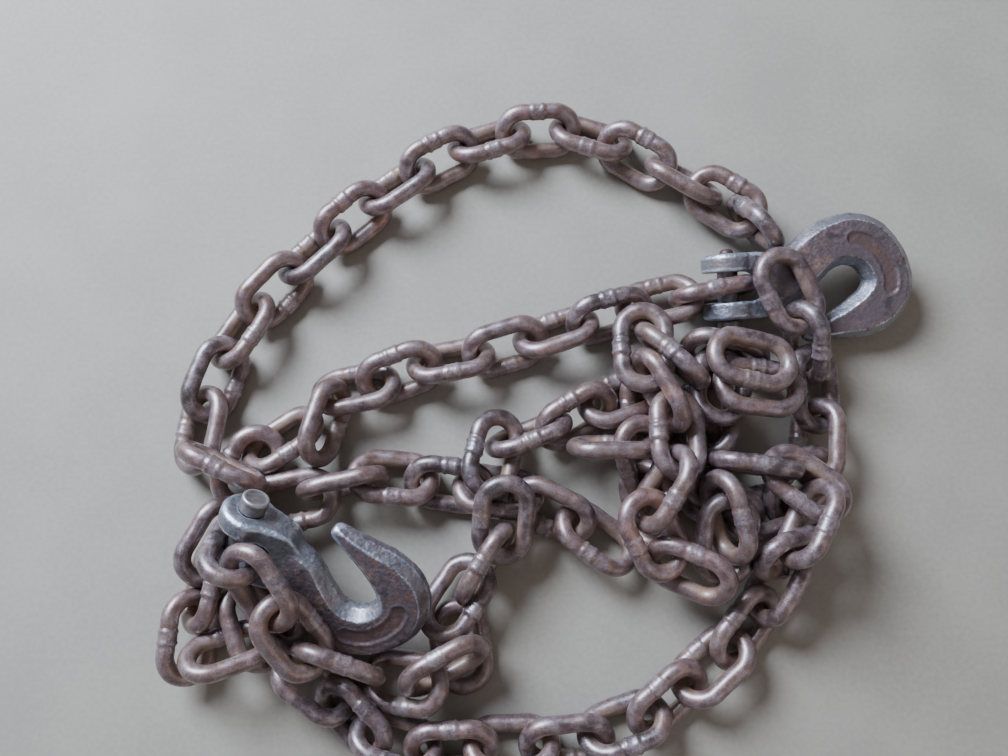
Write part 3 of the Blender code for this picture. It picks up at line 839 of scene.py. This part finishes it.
def panelShape(coords):
    # the sunk oval band that follows the bowl on both faces: its depth, its rim and a mask,
    # and a mask of the bevels that run along the hook, stronger round the throat: worn bare steel, with a
    # painted sky reflection on the throat side
    places, line, runs = hookLine()
    gaps = coords[:, None, :2] - line[None, :, :2]
    nearest = (gaps ** 2).sum(axis=2).argmin(axis=1)
    gap = gaps[np.arange(len(coords)), nearest]
    run = runs[nearest]
    along = (gap * run).sum(axis=1)
    across = gap[:, 1] * run[:, 0] - gap[:, 0] * run[:, 1]
    lengths = np.concatenate(((0.0,), np.cumsum(np.linalg.norm(np.diff(line[:, :2], axis=0), axis=1))))
    where = lengths[nearest] + along
    start = np.interp(hook["panelFrom"], places, lengths)
    end = np.interp(hook["panelTo"], places, lengths)
    half = hook["panelHalfWidth"]
    overrun = np.maximum(np.maximum(start + half - where, where - end + half), 0.0)
    distance = np.hypot(across - hook["panelShift"], overrun) - half
    onFace = smoothStep(np.abs(coords[:, 2]), hook["faceFrom"], hook["faceTo"])
    mask = (1.0 - smoothStep(distance, hook["panelSoftIn"], hook["panelSoftOut"])) * onFace
    ridge = np.exp(-((distance - hook["rimOut"]) / hook["rimWidth"]) ** 2) * onFace
    flat = line[nearest, 2] - hook["chamferIn"]
    bevel = smoothStep(np.abs(across), flat - hook["bevelSoft"], flat + hook["bevelSoft"])
    # painted reflection: the throat side's bevels are made barer than the outer ones
    bevel = bevel * np.where(across > 0, 1.0, hook["outerBevel"])
    fork = 1.0 - smoothStep(coords[:, 0], hook["forkBareFrom"], hook["forkBareTo"])
    sunk = mask * hook["panelDepth"] - ridge * hook["panelRim"]
    return sunk, mask, np.maximum(bevel, hook["forkBare"] * fork)


def addHooks():
    blank = forgedBlank()
    coords = coordsOf(blank)
    normals = normalsOf(blank)
    edge = edgeWear(blank, coords, normals)
    sunk, panel, bevels = panelShape(coords)
    for name, offset in hook["patterns"].items():
        swell = hook["swell"] * lumpy(coords, hook["swellSize"], offset)
        swell = swell + hook["pock"] * lumpy(coords, hook["pockSize"], offset)
        mesh = blank.copy()
        shaped = coords + normals * (swell - sunk)[:, None]
        setCoords(mesh, shaped)
        setAttribute(mesh, "edge", edge)
        # bevels: worn steel with a painted reflection round the throat
        setAttribute(mesh, "rim", bevels)
        setAttribute(mesh, "panel", panel)
        mesh.transform(placeMatrix(*hookPlace(name)))
        addPiece("clevis_" + name, mesh, "forged_steel", name)
    print("hooks ready:", sum(len(face.vertices) - 2 for face in blank.polygons), "triangles each")


def turnedPin():
    # radius and distance along the axis, from the peened end to the dished head
    tail, neck = pin["peenedFrom"], pin["shaftFrom"]
    shoulder, top = pin["headFrom"], pin["headFrom"] + pin["headLength"]
    small, shaft, head = pin["peenedRadius"], pin["radius"], pin["headRadius"]
    profile = [(0.0, tail), (small * 0.55, tail + 0.15), (small * 0.85, tail + 0.7), (small, tail + 1.6)]
    profile += [(small, neck - 0.3), (small + 0.3, neck), (shaft - 0.4, neck), (shaft, neck + 0.4)]
    profile += [(shaft, shoulder), (head - 0.4, shoulder), (head, shoulder + 0.4), (head, top - 0.9)]
    profile += [(head - 0.25, top - 0.3), (head - 0.8, top), (head - 1.5, top - 0.12)]
    profile += [(head - 2.1, top - 0.4), (head * 0.4, top - 0.5), (0.0, top - 0.5)]
    bm = bmesh.new()
    verts = [bm.verts.new((radius, y, 0.0)) for radius, y in profile]
    edges = [bm.edges.new(pair) for pair in zip(verts[:-1], verts[1:])]
    bmesh.ops.subdivide_edges(bm, edges=[edge for edge in edges if edge.calc_length() > 3.0], cuts=5)
    bmesh.ops.spin(
        bm, geom=bm.verts[:] + bm.edges[:], cent=(0, 0, 0), axis=(0, 1, 0), dvec=(0, 0, 0),
        angle=2 * math.pi, steps=pin["sides"], use_merge=True,
    )
    bmesh.ops.remove_doubles(bm, verts=bm.verts, dist=0.001)
    return meshOf(bm, "turned pin")


def addPins():
    blank = turnedPin()
    coords = coordsOf(blank)
    normals = normalsOf(blank)
    reach = np.hypot(coords[:, 0], coords[:, 2])
    rim = np.exp(-((reach - pin["headRadius"] + pin["rimIn"]) / pin["rimWidth"]) ** 2)
    rim = rim * (coords[:, 1] > pin["headFrom"] + pin["rimFrom"])
    low, high = pin["shaftFrom"] + pin["stainFrom"], pin["shaftFrom"] + pin["stainTo"]
    for name, offset in pin["patterns"].items():
        mesh = blank.copy()
        lumps = pin["lump"] * lumpy(coords, pin["lumpSize"], offset)
        setCoords(mesh, coords + normals * lumps[:, None])
        setAttribute(mesh, "edge", rim)
        setAttribute(mesh, "end", 1.0 - smoothStep(coords[:, 1], low, high))
        mesh.transform(placeMatrix(*hookPlace(name)))
        addPiece("clevis_pin_" + name[-1], mesh, "worn_steel", name + "_pin")
    print("pins ready")


# Floor, light and camera

stage = {
    "floorColour": (0.43, 0.375, 0.31),
    "floorShade": 0.86,
    "floorSpeck": 3.0,
    "floorPatch": 60.0,
    "floorSize": 6.0,
    "keyPlace": (-0.80, 0.85, 0.95),
    "keySize": 0.8,
    "keyPower": 60.0,
    "keyColour": (0.68, 0.81, 1.0),
    "fillPlace": (0.9, -0.8, 0.8),
    "fillSize": 1.2,
    "fillPower": 2.5,
    "fillColour": (1.0, 0.88, 0.76),
    "worldColour": (0.88, 0.90, 1.0),
    "worldStrength": 0.21,
    # the photograph's view as it was fitted: about 510 mm up, tilted a little towards +Y
    "eye": (-23.24, -72.46, 510.0),
    "tilt": 11.0,
    "lens": 32.14,
    "sensor": 36.0,
}


def addFloor():
    bm = bmesh.new()
    bmesh.ops.create_grid(bm, x_segments=1, y_segments=1, size=stage["floorSize"] / 2)
    floor = bpy.data.objects.new("floor", meshOf(bm, "floor"))
    bpy.context.scene.collection.objects.link(floor)
    made = Finish("pale floor")
    speck = made.grain(stage["floorSpeck"], 5.0, 0.6)
    broad = made.grain(stage["floorPatch"], 3.0, 0.5)
    colour = stage["floorColour"]
    darker = tuple(stage["floorShade"] * part for part in colour)
    tint = made.mix((speck * 0.5 + broad * 0.5).between(0.35, 0.65), darker, colour)
    floor.data.materials.append(made.finish(tint, 0.75, 0.0, made.bump(speck, 0.3, 0.25)))


def areaLight(name, place, size, power, colour):
    light = bpy.data.lights.new(name, "AREA")
    light.shape = "DISK"
    light.size = size
    light.energy = power
    light.color = colour
    lamp = bpy.data.objects.new(name, light)
    lamp.location = place
    lamp.rotation_euler = (-Vector(place)).to_track_quat("-Z", "Y").to_euler()
    bpy.context.scene.collection.objects.link(lamp)


def addLights():
    areaLight("window light", stage["keyPlace"], stage["keySize"], stage["keyPower"], stage["keyColour"])
    areaLight("room light", stage["fillPlace"], stage["fillSize"], stage["fillPower"], stage["fillColour"])
    world = bpy.data.worlds.new("soft surroundings")
    world.use_nodes = True
    background = world.node_tree.nodes["Background"]
    background.inputs["Color"].default_value = (*stage["worldColour"], 1.0)
    background.inputs["Strength"].default_value = stage["worldStrength"]
    bpy.context.scene.world = world


def addCamera():
    camera = bpy.data.cameras.new("camera")
    camera.sensor_width = stage["sensor"]
    camera.lens = stage["lens"]
    holder = bpy.data.objects.new("camera", camera)
    holder.location = Vector(stage["eye"]) * mm
    holder.rotation_euler = (math.radians(stage["tilt"]), 0.0, 0.0)
    bpy.context.scene.collection.objects.link(holder)
    bpy.context.scene.camera = holder


addChain(hookPlace("hook_1")[0])
addHooks()
addPins()
addFloor()
addLights()
addCamera()
